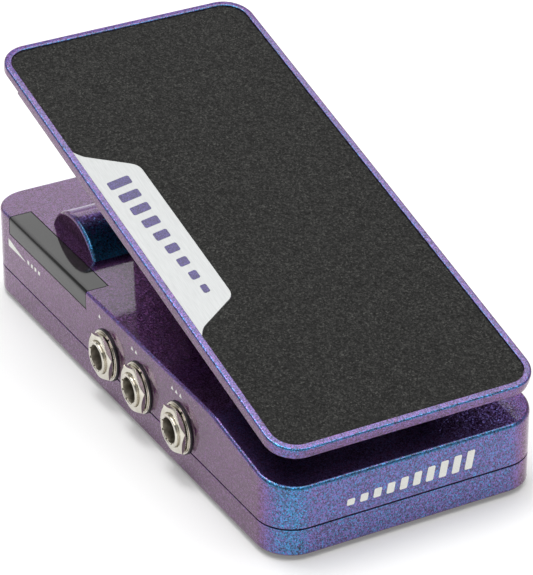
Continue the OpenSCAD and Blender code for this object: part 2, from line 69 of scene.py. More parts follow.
BODY_W = house_high.x - house_low.x
BODY_L = house_high.y - house_low.y
CORNER_R = 10.4
WALL = 2.2
COVER_Z = cover_low.z
SEAM_Z = cover_high.z
SEAM_GAP = 0.3
# The edges along the seam are eased: how far at their ends and at their middle
SEAM_EASE, SEAM_EASE_IN = 0.25, 0.08
TOP_Z = 28.3
HEEL_Z = 22.4
BEND_Y = -52.0
TOP_EDGE_R = 1.0

joint_of = {j["name"]: j for j in frame["joints"]}
mount_of = {m["name"]: m for m in record["mounts"]}


def joint_yz(name):
    return tuple(v / MM for v in joint_of[name]["pos_m"][1:])


def mount_yz(name):
    return tuple(v / MM for v in mount_of[name]["pos_m"][1:])


PIVOT_Y, PIVOT_Z = joint_yz("treadle_tilt")
# Slope of the treadle with the heel down, and where the middle of its deck is from the pivot
TILT = math.radians(14.7)
TREADLE_RISE = 46.9
TREADLE_BACK = 43.4
TREADLE_W, TREADLE_L, TREADLE_R = 80.0, 174.4, 8.7
PLATE_T, SKIRT_T, SKIRT_W, SKIRT_START = 2.5, 1.2, 2.2, 16.0
RIM_W, GRIP_RECESS = 2.1, 0.9

HUMP_R, HUMP_HALF, SLOT_HALF, HUMP_EDGE_R = 15.0, 31.5, 15.0, 1.2
BUSHING_R, PLUG_R, STACK_T, BUSHING_PROUD = 4.75, 3.25, 2.7, 0.8
NUT_AF, NUT_TURN, NOTCHES = 12.7, 44.0, 8
GASKET_T, WASHER_T, GASKET_R, WASHER_R = 0.5, 0.6, 7.6, 7.4
# Side of the housing that each jack is on
JACKS = {"exp_jack": -1, "output_jack": -1, "tuner_jack": -1, "input_jack": 1}
# Radii of the holes for the socket and the trim shaft, and how deep the window is let in
DC_HOLE_R, TRIM_HOLE_R, WINDOW_DEPTH = 5.55, 3.4, 1.8
# Rooms inside each half of the hump: from x, to x, radius
HUMP_ROOMS = (
    (SLOT_HALF - 1, SLOT_HALF + 2, 4.6),
    (SLOT_HALF + 2, 21.5, 13.05),
    (21.5, 27.5, 5.5),
    (27.5, HUMP_HALF - 2, 7),
)
# Distances of the cover's screws and feet from its centre, and the sizes of their seats
SCREW_X, SCREW_Y, SCREW_HEAD_R, SCREW_HOLE_R, SCREW_HEAD_T = 33.5, 79, 2.9, 1.5, 1.6
FOOT_X, FOOT_Y, FOOT_SEAT_R, FOOT_SEAT_T = 31, 70, 6.0, 0.6
# Height of a print above its wall, and how far it reaches in
PRINT_OUT, PRINT_IN = 0.03, 0.05


# ---------------------------------------------------------------------------
# Mesh helpers: everything is drawn in millimetres and stored in metres
# ---------------------------------------------------------------------------


def make_object(name, verts, faces):
    mesh = bpy.data.meshes.new(name)
    mesh.from_pydata([tuple(c * MM for c in v) for v in verts], [], faces)
    obj = bpy.data.objects.new(name, mesh)
    scene.collection.objects.link(obj)
    outward(obj)
    return obj


def outward(obj):
    """Merges doubled points and turns the faces outwards."""
    bm = bmesh.new()
    bm.from_mesh(obj.data)
    bmesh.ops.remove_doubles(bm, verts=bm.verts, dist=1e-7)
    bmesh.ops.recalc_face_normals(bm, faces=bm.faces)
    bm.to_mesh(obj.data)
    bm.free()


def outline(width, length, radius, stations, arc_steps):
    """Left chain, from heel to toe, of a round-cornered rectangle; the right chain mirrors it."""
    half_w, half_l = width / 2, length / 2
    chain = []
    for i in range(arc_steps + 1):
        a = math.pi / 2 * i / arc_steps
        chain.append((radius - half_w - radius * math.sin(a), radius - half_l - radius * math.cos(a)))
    chain += [(-half_w, y) for y in stations]
    for i in range(arc_steps + 1):
        a = math.pi / 2 * i / arc_steps
        chain.append((radius - half_w - radius * math.cos(a), half_l - radius + radius * math.sin(a)))
    return chain


def closed_ring(chain, height):
    """A full ring from a left chain; height is a function of y."""
    left = [(x, y, height(y)) for x, y in chain]
    right = [(-x, y, height(y)) for x, y in reversed(chain)]
    return left + right


def skin_rings(name, rings):
    """Closed solid through a list of rings; each end is closed by rows across the ring."""
    count = len(rings[0])
    verts = [p for ring in rings for p in ring]
    faces = []
    for k in range(len(rings) - 1):
        base, above = k * count, (k + 1) * count
        for i in range(count):
            j = (i + 1) % count
            faces.append((base + i, base + j, above + j, above + i))
    for start in (0, (len(rings) - 1) * count):
        for i in range(count // 2 - 1):
            faces.append((start + i, start + i + 1, start + count - 2 - i, start + count - 1 - i))
    return make_object(name, verts, faces)


def revolve(name, profile, centre, side, segments=64, closed=False):
    """Turns a profile of (radius, height) about the X axis; height grows away from the body."""
    cx, cy, cz = centre
    verts = []
    rings = []
    for radius, height in profile:
        if radius < 1e-6:
            rings.append([len(verts)] * segments)
            verts.append((cx + side * height, cy, cz))
            continue
        rings.append(list(range(len(verts), len(verts) + segments)))
        for i in range(segments):
            a = 2 * math.pi * i / segments
            verts.append((cx + side * height, cy + radius * math.cos(a), cz + radius * math.sin(a)))
    faces = []
    pairs = list(zip(rings, rings[1:]))
    if closed:
        pairs.append((rings[-1], rings[0]))
    for low, high in pairs:
        for i in range(segments):
            j = (i + 1) % segments
            face = []
            for index in (low[i], low[j], high[j], high[i]):
                if index not in face:
                    face.append(index)
            faces.append(face)
    return make_object(name, verts, faces)


def round_corner(cx, cy, radius, start, end, steps):
    """Points of an arc in a profile, angles in degrees."""
    turns = [math.radians(start + (end - start) * i / steps) for i in range(steps + 1)]
    return [(cx + radius * math.cos(a), cy + radius * math.sin(a)) for a in turns]


def quarter(steps):
    """(1 - sin, 1 - cos) over a quarter turn, for rounding an edge between two faces."""
    for i in range(steps + 1):
        a = math.pi / 2 * i / steps
        yield 1 - math.sin(a), 1 - math.cos(a)


def block(name, low, high):
    xs, ys, zs = zip(low, high)
    verts = [(x, y, z) for x in xs for y in ys for z in zs]
    faces = [(0, 1, 3, 2), (4, 6, 7, 5), (0, 4, 5, 1), (2, 3, 7, 6), (0, 2, 6, 4), (1, 5, 7, 3)]
    return make_object(name, verts, faces)


def rod(name, x0, x1, y, z, radius, segments=64):
    return revolve(name, [(0, x0), (radius, x0), (radius, x1), (0, x1)], (0, y, z), 1, segments)


def side_faces(count):
    """Faces round a prism whose points are its low outline and then its high one, and its two ends."""
    ends = [tuple(range(count)), tuple(range(count, 2 * count))]
    return ends + [(i, (i + 1) % count, count + (i + 1) % count, count + i) for i in range(count)]


def prism(name, axis, shape, low, high):
    """Prism along axis 0, 1 or 2 of an outline in the other two axes, in their order."""
    verts = [p[:axis] + (level,) + p[axis:] for level in (low, high) for p in shape]
    return make_object(name, verts, side_faces(len(shape)))


def cone_z(name, x, y, z0, r0, z1, r1, segments=48):
    """Upright cylinder or cone."""
    turns = [2 * math.pi * i / segments for i in range(segments)]
    verts = [
        (x + radius * math.cos(a), y + radius * math.sin(a), z)
        for z, radius in ((z0, r0), (z1, r1))
        for a in turns
    ]
    return make_object(name, verts, side_faces(segments))


def apply_modifiers(obj):
    """Makes the object's modifiers part of its mesh."""
    graph = bpy.context.evaluated_depsgraph_get()
    result = bpy.data.meshes.new_from_object(obj.evaluated_get(graph))
    old = obj.data
    obj.modifiers.clear()
    obj.data = result
    bpy.data.meshes.remove(old)


def remove(obj):
    spare = obj.data
    bpy.data.objects.remove(obj)
    bpy.data.meshes.remove(spare)


def combine(obj, others, operation):
    """Boolean of the object with each of the others, which are used up."""
    for other in others:
        mod = obj.modifiers.new("boolean", "BOOLEAN")
        mod.operation = operation
        mod.solver = "EXACT"
        mod.object = other
        apply_modifiers(obj)
        remove(other)


def join(obj, other):
    """Adds another object's mesh, which is used up, to the first."""
    bm = bmesh.new()
    bm.from_mesh(obj.data)
    bm.from_mesh(other.data)
    bm.to_mesh(obj.data)
    bm.free()
    remove(other)


def print_of(name, axis, shapes, low, high):
    """One object of thin prisms, from their outlines."""
    first, *others = [prism(name, axis, shape, low, high) for shape in shapes]
    for other in others:
        join(first, other)
    return first


def add_bevel(obj, width, angle):
    """Rounds the edges that turn by more than the angle."""
    mod = obj.modifiers.new("bevel", "BEVEL")
    mod.width = width * MM
    mod.segments = 2
    mod.limit_method = "ANGLE"
    mod.angle_limit = math.radians(angle)


def bevel(obj, width, angle):
    add_bevel(obj, width, angle)
    apply_modifiers(obj)


def add_weighted_normals(obj):
    mod = obj.modifiers.new("weighted normals", "WEIGHTED_NORMAL")
    mod.keep_sharp = True


def smooth(obj, angle):
    """Smooth faces with sharp edges kept where they turn by more than the angle."""
    mesh = obj.data
    mesh.polygons.foreach_set("use_smooth", [True] * len(mesh.polygons))
    mesh.set_sharp_from_angle(angle=math.radians(angle))
    add_weighted_normals(obj)


def finish_piece(obj, body, material, replaced=(), angle=32):
    """Shading, material and body of a finished piece, whose replaced CAD nodes are hidden."""
    smooth(obj, angle)
    obj.data.materials.clear()
    obj.data.materials.append(material)
    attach(obj, body)
    if replaced:
        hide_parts(*replaced)


def on_treadle(obj):
    """Takes a piece drawn in the treadle's own frame to its place with the heel down."""
    place = (
        Matrix.Translation(Vector((0, PIVOT_Y, PIVOT_Z)) * MM)
        @ Matrix.Rotation(TILT, 4, "X")
        @ Matrix.Translation(Vector((0, -TREADLE_BACK, TREADLE_RISE)) * MM)
    )
    obj.data.transform(place)


# ---------------------------------------------------------------------------
# Materials
# ---------------------------------------------------------------------------


class Tree:
    """Short forms for making shader nodes."""

    def __init__(self, name):
        self.material = bpy.data.materials.new(name)
        self.material.use_nodes = True
        self.nodes = self.material.node_tree.nodes
        self.links = self.material.node_tree.links
        self.shader = self.nodes["Principled BSDF"]
        self.place = self.nodes.new("ShaderNodeTexCoord")

    def link(self, source, target):
        self.links.new(source, target)

    def math(self, operation, *values):
        node = self.nodes.new("ShaderNodeMath")
        node.operation = operation
        self.fill(node, values)
        return node.outputs[0]

    def vector(self, operation, *values):
        node = self.nodes.new("ShaderNodeVectorMath")
        node.operation = operation
        self.fill(node, values)
        return node.outputs["Value"] if operation == "DOT_PRODUCT" else node.outputs[0]

    def scaled(self, vector, factor):
        node = self.nodes.new("ShaderNodeVectorMath")
        node.operation = "SCALE"
        self.link(vector, node.inputs[0])
        if isinstance(factor, bpy.types.NodeSocket):
            self.link(factor, node.inputs["Scale"])
        else:
            node.inputs["Scale"].default_value = factor
        return node.outputs[0]

    def fill(self, node, values):
        for socket, value in zip(node.inputs, values):
            if isinstance(value, bpy.types.NodeSocket):
                self.link(value, socket)
            else:
                socket.default_value = value

    def noise(self, size_mm, detail=3.0, roughness=0.5):
        node = self.nodes.new("ShaderNodeTexNoise")
        node.inputs["Scale"].default_value = 1 / (size_mm * MM)
        node.inputs["Detail"].default_value = detail
        node.inputs["Roughness"].default_value = roughness
        self.link(self.place.outputs["Object"], node.inputs["Vector"])
        return node.outputs["Fac"]

    def cells(self, size_mm, output="Color"):
        node = self.nodes.new("ShaderNodeTexVoronoi")
        node.inputs["Scale"].default_value = 1 / (size_mm * MM)
        self.link(self.place.outputs["Object"], node.inputs["Vector"])
        return node.outputs[output]

    def ramp(self, factor, stops):
        node = self.nodes.new("ShaderNodeValToRGB")
        ramp = node.color_ramp
        while len(ramp.elements) < len(stops):
            ramp.elements.new(0.5)
        for element, (position, colour) in zip(ramp.elements, stops):
            element.position = position
            element.color = (*colour, 1)
        self.link(factor, node.inputs[0])
        return node.outputs[0]

    def bump(self, height, strength, distance_mm, target="Normal"):
        node = self.nodes.new("ShaderNodeBump")
        node.inputs["Strength"].default_value = strength
        node.inputs["Distance"].default_value = distance_mm * MM
        self.link(height, node.inputs["Height"])
        self.link(node.outputs[0], self.shader.inputs[target])

    def base(self, factor, *stops):
        """Base colour from a factor, through (place, colour code) stops."""
        colours = [(place, srgb(code)) for place, code in stops]
        self.link(self.ramp(factor, colours), self.shader.inputs["Base Color"])

    def rough(self, factor, span, least):
        """Roughness from a factor of 0 to 1."""
        self.link(self.math("MULTIPLY_ADD", factor, span, least), self.shader.inputs["Roughness"])

    def set(self, **values):
        for name, value in values.items():
            self.shader.inputs[name.replace("_", " ")].default_value = value


def srgb(code):
    """Linear colour of a #rrggbb code."""
    channels = [int(code[i:i + 2], 16) / 255 for i in (1, 3, 5)]
    return tuple(c / 12.92 if c <= 0.04045 else ((c + 0.055) / 1.055) ** 2.4 for c in channels)


# The paint's colour shift is painted in as a reflection colour: it turns from mauve over violet to blue, lighter
# or darker with it, as a face turns from a side wall to an end wall, measured against one fixed direction
PAINT_ACROSS = (0.42, 0.76, 0.0)
PAINT_UP = 0.52
PAINT_STOPS = (
    (0.20, srgb("#341c34")),
    (0.45, srgb("#472246")),
    (0.56, srgb("#6e477c")),
    (0.68, srgb("#665190")),
    (0.78, srgb("#545290")),
    (0.90, srgb("#2c74a4")),
)
# The marks printed on the label are a deeper violet of the same paint
DEEP_STOPS = (
    (0.30, srgb("#231d42")),
    (0.60, srgb("#33295c")),
    (0.90, srgb("#40397a")),
)


# Size of a flake, how far it moves the colour, how far it leans and how much brighter its painted glint can make
# it
FLAKE_MM, FLAKE_SPREAD, FLAKE_LEAN, FLAKE_GLINT = 0.32, 0.18, 0.30, 2.3


def flake_paint(name, stops):
    """Colour-shifting metallic paint under a clear coat; the shift is painted into the base colour by the
    direction each face points in, and the flakes' glints are painted in as brighter flakes.
    """
    t = Tree(name)
    normal = t.place.outputs["Normal"]
    across = t.math("ABSOLUTE", t.vector("DOT_PRODUCT", normal, PAINT_ACROSS))
    upward = t.vector("DOT_PRODUCT", normal, (0.0, 0.0, PAINT_UP))
    turn = t.math("ADD", across, upward)
    random = t.vector("SUBTRACT", t.cells(FLAKE_MM), (0.5, 0.5, 0.5))
    shift = t.vector("DOT_PRODUCT", random, (FLAKE_SPREAD, FLAKE_SPREAD, 0.0))
    cloud = t.math("MULTIPLY", t.math("SUBTRACT", t.noise(9.0), 0.5), 0.06)
    colour = t.ramp(t.math("ADD", t.math("ADD", turn, shift), cloud), stops)
    # Painted glint: flakes are brightened at random in the base colour, more on faces turned towards the end walls
    glint_strength = t.math("MULTIPLY", turn, FLAKE_GLINT)
    glint = t.vector("DOT_PRODUCT", random, (0.0, 0.2, 0.8))
    brightness = t.math("MULTIPLY_ADD", glint, glint_strength, 1.0)
    t.link(t.scaled(colour, brightness), t.shader.inputs["Base Color"])
    geometry = t.nodes.new("ShaderNodeNewGeometry")
    leaning = t.vector("ADD", geometry.outputs["Normal"], t.scaled(random, FLAKE_LEAN))
    t.link(t.vector("NORMALIZE", leaning), t.shader.inputs["Normal"])
    t.bump(t.noise(0.9, 2.0), 0.35, 0.02, "Coat Normal")
    t.set(Metallic=0.9, Roughness=0.30, Specular_Tint=(0.8, 0.56, 0.8, 1.0))
    t.set(Coat_Weight=1.0, Coat_Roughness=0.05, Coat_IOR=1.5)
    return t.material


# Size of a grain of the grip sheet
GRAIN_MM = 0.38


def grit_material():
    """Coarse black mineral grit, as on a grip sheet."""
    t = Tree("grip_grit")
    grains = t.cells(GRAIN_MM)
    bright = t.vector("DOT_PRODUCT", grains, (1.0, 0.0, 0.0))
    fine = t.noise(0.3, 3.0, 0.7)
    mix = t.math("MULTIPLY_ADD", fine, 0.25, t.math("MULTIPLY", bright, 0.75))
    t.base(mix, (0.20, "#161615"), (0.60, "#272726"), (0.82, "#3a3a38"), (0.95, "#585855"))
    height = t.math("ADD", t.cells(GRAIN_MM, "Distance"), fine)
    t.bump(height, 0.6, 0.2)
    t.set(Roughness=0.8, Specular_IOR_Level=0.2)
    return t.material


def nickel_material(name, tint, rough):
    """Bright nickel plate with fine turning marks and a little tarnish."""
    t = Tree(name)
    stain = t.noise(2.5, 4.0)
    t.base(stain, (0.3, tint), (0.8, "#c2bcae"))
    t.rough(stain, 0.12, rough)
    t.bump(t.noise(0.25, 2.0), 0.12, 0.02)
    t.set(Metallic=1.0)
    return t.material


def steel_material():
    """Zinc-plated steel of screws and shaft."""
    t = Tree("steel")
    grain = t.noise(0.6, 5.0, 0.6)
    t.base(grain, (0.3, "#8d8e92"), (0.75, "#b9babd"))
    t.rough(grain, 0.25, 0.2)
    t.bump(grain, 0.15, 0.03)
    t.set(Metallic=1.0)
    return t.material


def bronze_material():
    """Sintered bronze of the bearing bushings."""
    t = Tree("bronze")
    grain = t.noise(0.5, 5.0, 0.6)
    t.base(grain, (0.3, "#8a6a3c"), (0.75, "#b8955c"))
    t.rough(grain, 0.3, 0.3)
    t.bump(grain, 0.3, 0.03)
    t.set(Metallic=1.0)
    return t.material


def moulded_material(name, dark, light, rough, grain_mm=0.5, relief=0.25):
    """Moulded plastic or rubber with a fine grain."""
    t = Tree(name)
    grain = t.noise(grain_mm, 4.0, 0.6)
    t.base(grain, (0.3, dark), (0.75, light))
    t.rough(grain, 0.15, rough)
    t.bump(grain, relief, 0.05)
    return t.material


def window_material(name, dark, light):
    """Smoked acrylic strip with a polished face."""
    t = Tree(name)
    haze = t.noise(14.0, 2.0)
    t.base(haze, (0.35, dark), (0.7, light))
    t.rough(t.noise(0.8, 3.0), 0.04, 0.05)
    t.set(IOR=1.49)
    return t.material


def label_material():
    """Silver-white film with a very fine brushed grain along the treadle."""
    t = Tree("label_film")
    stretch = t.nodes.new("ShaderNodeMapping")
    stretch.inputs["Scale"].default_value = (1.0, 0.06, 0.06)
    t.link(t.place.outputs["Object"], stretch.inputs["Vector"])
    grain = t.nodes.new("ShaderNodeTexNoise")
    grain.inputs["Scale"].default_value = 4000
    t.link(stretch.outputs[0], grain.inputs["Vector"])
    fac = grain.outputs["Fac"]
    t.base(fac, (0.3, "#b9bbbb"), (0.7, "#c4c6c6"))
    t.bump(fac, 0.08, 0.02)
    t.set(Metallic=0.25, Roughness=0.35)
    return t.material


def print_material():
    """White screen print, slightly uneven at the grain of the paint."""
    t = Tree("white_print")
    fac = t.noise(0.3, 3.0)
    t.base(fac, (0.3, "#dfe0da"), (0.7, "#f0f1ec"))
    t.bump(fac, 0.2, 0.02)
    t.set(Roughness=0.4)
    return t.material


def board_material():
    """Green circuit board with copper tracks under the lacquer."""
    t = Tree("board")
    bricks = t.nodes.new("ShaderNodeTexBrick")
    bricks.inputs["Scale"].default_value = 180
    bricks.inputs["Color1"].default_value = (*srgb("#14532d"), 1)
    bricks.inputs["Color2"].default_value = (*srgb("#17603a"), 1)
    bricks.inputs["Mortar"].default_value = (*srgb("#2f7d4c"), 1)
    bricks.inputs["Mortar Size"].default_value = 0.05
    t.link(t.place.outputs["Object"], bricks.inputs["Vector"])
    t.link(bricks.outputs[0], t.shader.inputs["Base Color"])
    t.bump(bricks.outputs["Fac"], 0.3, 0.03)
    t.set(Roughness=0.35)
    return t.material


PAINT = flake_paint("flake_paint", PAINT_STOPS)
DEEP_PAINT = flake_paint("flake_print", DEEP_STOPS)
# Painted shade: the treadle's underside is made near-black to stand for the shade beneath it, which also makes it
# reflect dark in the housing top
UNDERSIDE_SHADE = moulded_material("underside_painted_shade", "#0d0c10", "#17151b", 0.5, 0.6, 0.2)
NICKEL = nickel_material("nickel", "#dcd8ce", 0.07)
# Painted shade: a dark nickel for the inside of each bushing's mouth, standing for the shade in the hole
BORE_SHADE = nickel_material("bore_painted_shade", "#5e554b", 0.4)
STEEL = steel_material()
BRONZE = bronze_material()
RUBBER = moulded_material("black_rubber", "#141414", "#232322", 0.6)
BLACK_PLASTIC = moulded_material("black_plastic", "#131315", "#212124", 0.42, 0.35, 0.15)
GASKET = moulded_material("gasket_black", "#0e0e10", "#1a1a1c", 0.35, 0.4, 0.15)
WHITE_PLASTIC = moulded_material("white_plastic", "#cfcabb", "#e6e2d6", 0.4, 0.6, 0.1)
BLUE_PLASTIC = moulded_material("blue_plastic", "#1f3f70", "#2f5590", 0.4, 0.5, 0.15)
WINDOW = window_material("smoked_window", "#2a2a29", "#323231")
WINDOW_FOLD_SHADE = window_material("fold_painted_shade", "#0c0c0c", "#131313")
GRIT = grit_material()
LABEL = label_material()
PRINT = print_material()
BOARD = board_material()


# ---------------------------------------------------------------------------
# Housing
# ---------------------------------------------------------------------------


def top_height(y):
    """Height of the housing's top: flat, then sloping down to the heel past a soft bend."""
    slope = (TOP_Z - HEEL_Z) / (BEND_Y + BODY_L / 2)
    soft = 2.5
    past = BEND_Y - y
    if past <= -soft:
        return TOP_Z
    if past >= soft:
        return TOP_Z - slope * past
    return TOP_Z - slope * (past + soft) ** 2 / (4 * soft)


def side_stations():
    """Places along the straight sides: close at the bend, wide elsewhere."""
    near_bend = [BEND_Y + d for d in (-2.5, -1.5, -0.5, 0.5, 1.5, 2.5)]
    return [-70, -61] + near_bend + [-40, -20, 0, 20, 40, 60]


def body_outline(inset):
    return outline(BODY_W - 2 * inset, BODY_L - 2 * inset, CORNER_R - inset, side_stations(), 14)


def flat(z):
    return lambda y: z


def body_ring(inset, height):
    return closed_ring(body_outline(inset), flat(height))


def housing_shell():
    edge = TOP_EDGE_R
    rings = [
        closed_ring(body_outline(WALL), lambda y: top_height(y) - WALL),
        body_ring(WALL, SEAM_Z),
        body_ring(SEAM_EASE, SEAM_Z),
        body_ring(SEAM_EASE_IN, SEAM_Z + SEAM_EASE_IN),
        body_ring(0, SEAM_Z + SEAM_EASE),
    ]
    for s, c in quarter(8):
        rings.append(closed_ring(body_outline(edge * c), lambda y, d=edge * s: top_height(y) - d))
    return skin_rings("housing_shell", rings)


def hump_half(side):
    """One side of the round hump: a half drum with a rounded outer edge."""
    length = HUMP_HALF - SLOT_HALF
    edge = HUMP_EDGE_R
    profile = [(HUMP_R, 0)] + round_corner(HUMP_R - edge, length - edge, edge, 0, 90, 8)
    steps = 48
    low_z = TOP_Z - 1.4
    verts, faces = [], []
    for radius, along in profile:
        first = math.asin((low_z - PIVOT_Z) / radius)
        for i in range(steps + 1):
            a = first + (math.pi - 2 * first) * i / steps
            y, z = PIVOT_Y + radius * math.cos(a), PIVOT_Z + radius * math.sin(a)
            verts.append((side * (SLOT_HALF + along), y, z))
    row = steps + 1
    for k in range(len(profile) - 1):
        for i in range(steps):
            faces.append((k * row + i, k * row + i + 1, (k + 1) * row + i + 1, (k + 1) * row + i))
        faces.append((k * row, (k + 1) * row, (k + 1) * row + steps, k * row + steps))
    for k in (0, len(profile) - 1):
        faces.append(tuple(k * row + i for i in range(row)))
    return make_object("hump", verts, faces)


def wall_hole(side, place, radius):
    """Cutter of a round hole through a side wall, at a place (y, z)."""
    x0, x1 = sorted((side * (BODY_W / 2 - 5), side * (BODY_W / 2 + 5)))
    return rod("cut", x0, x1, *place, radius)


def jack_cutters():
    """Holes for the jacks' bushings; their lowest part dips into the cover's lip."""
    cutters = []
    for name, side in JACKS.items():
        cutters.append(wall_hole(side, mount_yz(name), BUSHING_R + 0.15))
    return cutters


def housing_cutters():
    cutters = jack_cutters()
    cutters.append(wall_hole(1, mount_yz("dc_inlet"), DC_HOLE_R))
    cutters.append(wall_hole(1, joint_yz("trim_turn"), TRIM_HOLE_R))
    cutters.append(rod("cut", -SLOT_HALF, SLOT_HALF, PIVOT_Y, PIVOT_Z, HUMP_R, 128))
    left, low, right, clear = window_low.x, window_low.z, window_high.x, 3
    inner_x, inner_z = left + WINDOW_DEPTH, TOP_Z - WINDOW_DEPTH
    recess = [
        (left - clear, low), (inner_x, low), (inner_x, inner_z),
        (right, inner_z), (right, TOP_Z + clear), (left - clear, TOP_Z + clear),
    ]
    cutters.append(prism("cut", 1, recess, window_low.y, window_high.y))
    for side in (-1, 1):
        for x0, x1, radius in HUMP_ROOMS:
            a, b = sorted((side * x0, side * x1))
            cutters.append(rod("cut", a, b, PIVOT_Y, PIVOT_Z, radius, 48))
    return cutters


def build_housing():
    shell = housing_shell()
    combine(shell, [hump_half(-1), hump_half(1)], "UNION")
    combine(shell, housing_cutters(), "DIFFERENCE")
    finish_piece(shell, "housing", PAINT, ["upper_housing"])


def build_cover():
    """Base cover: a tray with a small radius at its foot and a shadow gap under the seam."""
    lip, foot, floor_t = 0.6, 0.6, 2.0
    wall_top = SEAM_Z - SEAM_GAP
    rings = [
        body_ring(WALL, COVER_Z + floor_t),
        body_ring(WALL, SEAM_Z),
        body_ring(lip, SEAM_Z),
        body_ring(lip, wall_top),
        body_ring(SEAM_EASE, wall_top),
        body_ring(SEAM_EASE_IN, wall_top - SEAM_EASE_IN),
        body_ring(0, wall_top - SEAM_EASE),
    ]
    rings += [body_ring(foot * c, COVER_Z + foot * s) for s, c in quarter(4)]
    tray = skin_rings("cover_tray", rings)
    cutters = jack_cutters()
    head_top = COVER_Z + SCREW_HEAD_T
    for x, y in corner_places(SCREW_X, SCREW_Y):
        cutters.append(cone_z("cut", x, y, COVER_Z - 0.01, SCREW_HEAD_R, head_top, SCREW_HOLE_R))
        cutters.append(cone_z("cut", x, y, head_top - 0.1, SCREW_HOLE_R, SEAM_Z, SCREW_HOLE_R))
    for x, y in corner_places(FOOT_X, FOOT_Y):
        seat_top = COVER_Z + FOOT_SEAT_T
        cutters.append(cone_z("cut", x, y, COVER_Z - 1, FOOT_SEAT_R, seat_top, FOOT_SEAT_R))
    combine(tray, cutters, "DIFFERENCE")
    finish_piece(tray, "housing", PAINT, ["base_cover"])


def corner_places(x, y):
    return [(sx * x, sy * y) for sx in (-1, 1) for sy in (-1, 1)]


def build_window():
    """Smoked strip bent over the top edge; the bend is made black as painted shade."""
    gap, depth, fold, band = 0.22, WINDOW_DEPTH - 0.05, 1.0, 0.5
    left, top = window_low.x, TOP_Z
    right, low = window_high.x - gap, window_low.z + gap
    fold_arc = [
        (left + fold + fold * math.cos(a), top - fold + fold * math.sin(a))
        for a in (math.pi - math.pi / 2 * i / 8 for i in range(9))
    ]
    section = [
        (left, low), (left, top - fold - band), *fold_arc, (left + fold + band, top), (right, top),
        (right, top - depth), (left + depth, top - depth), (left + depth, low),
    ]
    strip = prism("window_strip", 1, section, window_low.y + gap, window_high.y - gap)
    bevel(strip, 0.12, 50)
    smooth(strip, 25)
    strip.data.materials.clear()
    strip.data.materials.append(WINDOW)
    strip.data.materials.append(WINDOW_FOLD_SHADE)
    # Faces round the bend take the black of painted shade
    for face in strip.data.polygons:
        outer = face.center.x / MM < left + fold + band and face.center.z / MM > top - fold - band
        face.material_index = 1 if outer else 0
    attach(strip, "housing")
    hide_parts("led_window")


# ---------------------------------------------------------------------------
# Jacks
# ---------------------------------------------------------------------------


def ring_profile(inner, outer, low, high, ease):
    """Section of a flat ring whose outer corners are eased."""
    return [
        (inner, low), (outer - ease, low), (outer, low + ease),
        (outer, high - ease), (outer - ease, high), (inner, high),
    ]


def build_bushing(name, wall, side):
    """Threaded bushing with a tapered mouth and eight notches in its face."""
    face, mouth_r, edge = STACK_T + BUSHING_PROUD, 3.7, 0.3
    profile = [(PLUG_R, -WALL), (BUSHING_R, -WALL), (BUSHING_R, face - 0.35)]
    profile += round_corner(BUSHING_R - edge, face - edge, edge, 0, 90, 3)
    profile += [(4.0, face), (3.85, face - 0.15), (mouth_r, face - 0.2), (3.5, face - 1.2), (PLUG_R, 0)]
    bushing = revolve(name + "_barrel", profile, wall, side, 72, closed=True)
    notches = []
    face_centre = Matrix.Translation(Vector(wall) * MM + Vector((side * face * MM, 0, 0)))
    for i in range(NOTCHES):
        turn = Matrix.Rotation(2 * math.pi * (i + 0.5) / NOTCHES, 4, "X")
        cut = block("cut", (-0.42, -0.3, -0.3), (0.42, 0.3, 0.3))
        cut.data.transform(face_centre @ turn @ Matrix.Translation(Vector((0, 0, mouth_r + 0.02)) * MM))
        notches.append(cut)
    combine(bushing, notches, "DIFFERENCE")
    finish_piece(bushing, "housing", NICKEL, [name + "_bushing"])
    # The faces inside the mouth take the dark nickel of painted shade
    bushing.data.materials.append(BORE_SHADE)
    for polygon in bushing.data.polygons:
        _, dy, dz = polygon.center / MM - Vector(wall)
        below_face = abs(polygon.center.x / MM) < BODY_W / 2 + face - 0.25
        if math.hypot(dy, dz) < mouth_r - 0.02 and below_face:
            polygon.material_index = 1


def build_washers(name, wall, side):
    """Flat washer and, over it, a smaller split spring washer."""
    middle = GASKET_T + WASHER_T / 2
    flat_ring = ring_profile(BUSHING_R + 0.1, WASHER_R, GASKET_T, middle, 0.08)
    spring_ring = ring_profile(BUSHING_R + 0.2, WASHER_R - 0.42, middle, GASKET_T + WASHER_T, 0.08)
    washers = revolve(name + "_rings", flat_ring, wall, side, 72, closed=True)
    spring = revolve("spring", spring_ring, wall, side, 72, closed=True)
    split = block("cut", (-1.5, -0.35, 4), (1.5, 0.35, 9))
    split.data.transform(
        Matrix.Translation(Vector((wall[0] + side * 1.5, wall[1], wall[2])) * MM)
        @ Matrix.Rotation(math.radians(25), 4, "X")
        @ Matrix.Rotation(math.radians(12), 4, "Z")
    )
    combine(spring, [split], "DIFFERENCE")
    join(washers, spring)
    finish_piece(washers, "housing", NICKEL, [name + "_washers"])


def build_gasket(name, wall, side):
    inner, ease = BUSHING_R + 0.1, 0.15
    profile = [
        (inner, 0.0), (GASKET_R, 0.0), (GASKET_R, GASKET_T - ease), (GASKET_R - ease, GASKET_T),
        (inner, GASKET_T),
    ]
    seal = revolve(name + "_seal", profile, wall, side, 72, closed=True)
    finish_piece(seal, "housing", GASKET, [name + "_gasket"])


def build_jack(name, side):
    wall = (side * BODY_W / 2, *mount_yz(name))
    build_bushing(name, wall, side)
    nut = hex_nut(name + "_hexagon", wall, side)
    finish_piece(nut, "housing", NICKEL, [name + "_nut"])
    build_washers(name, wall, side)
    build_gasket(name, wall, side)


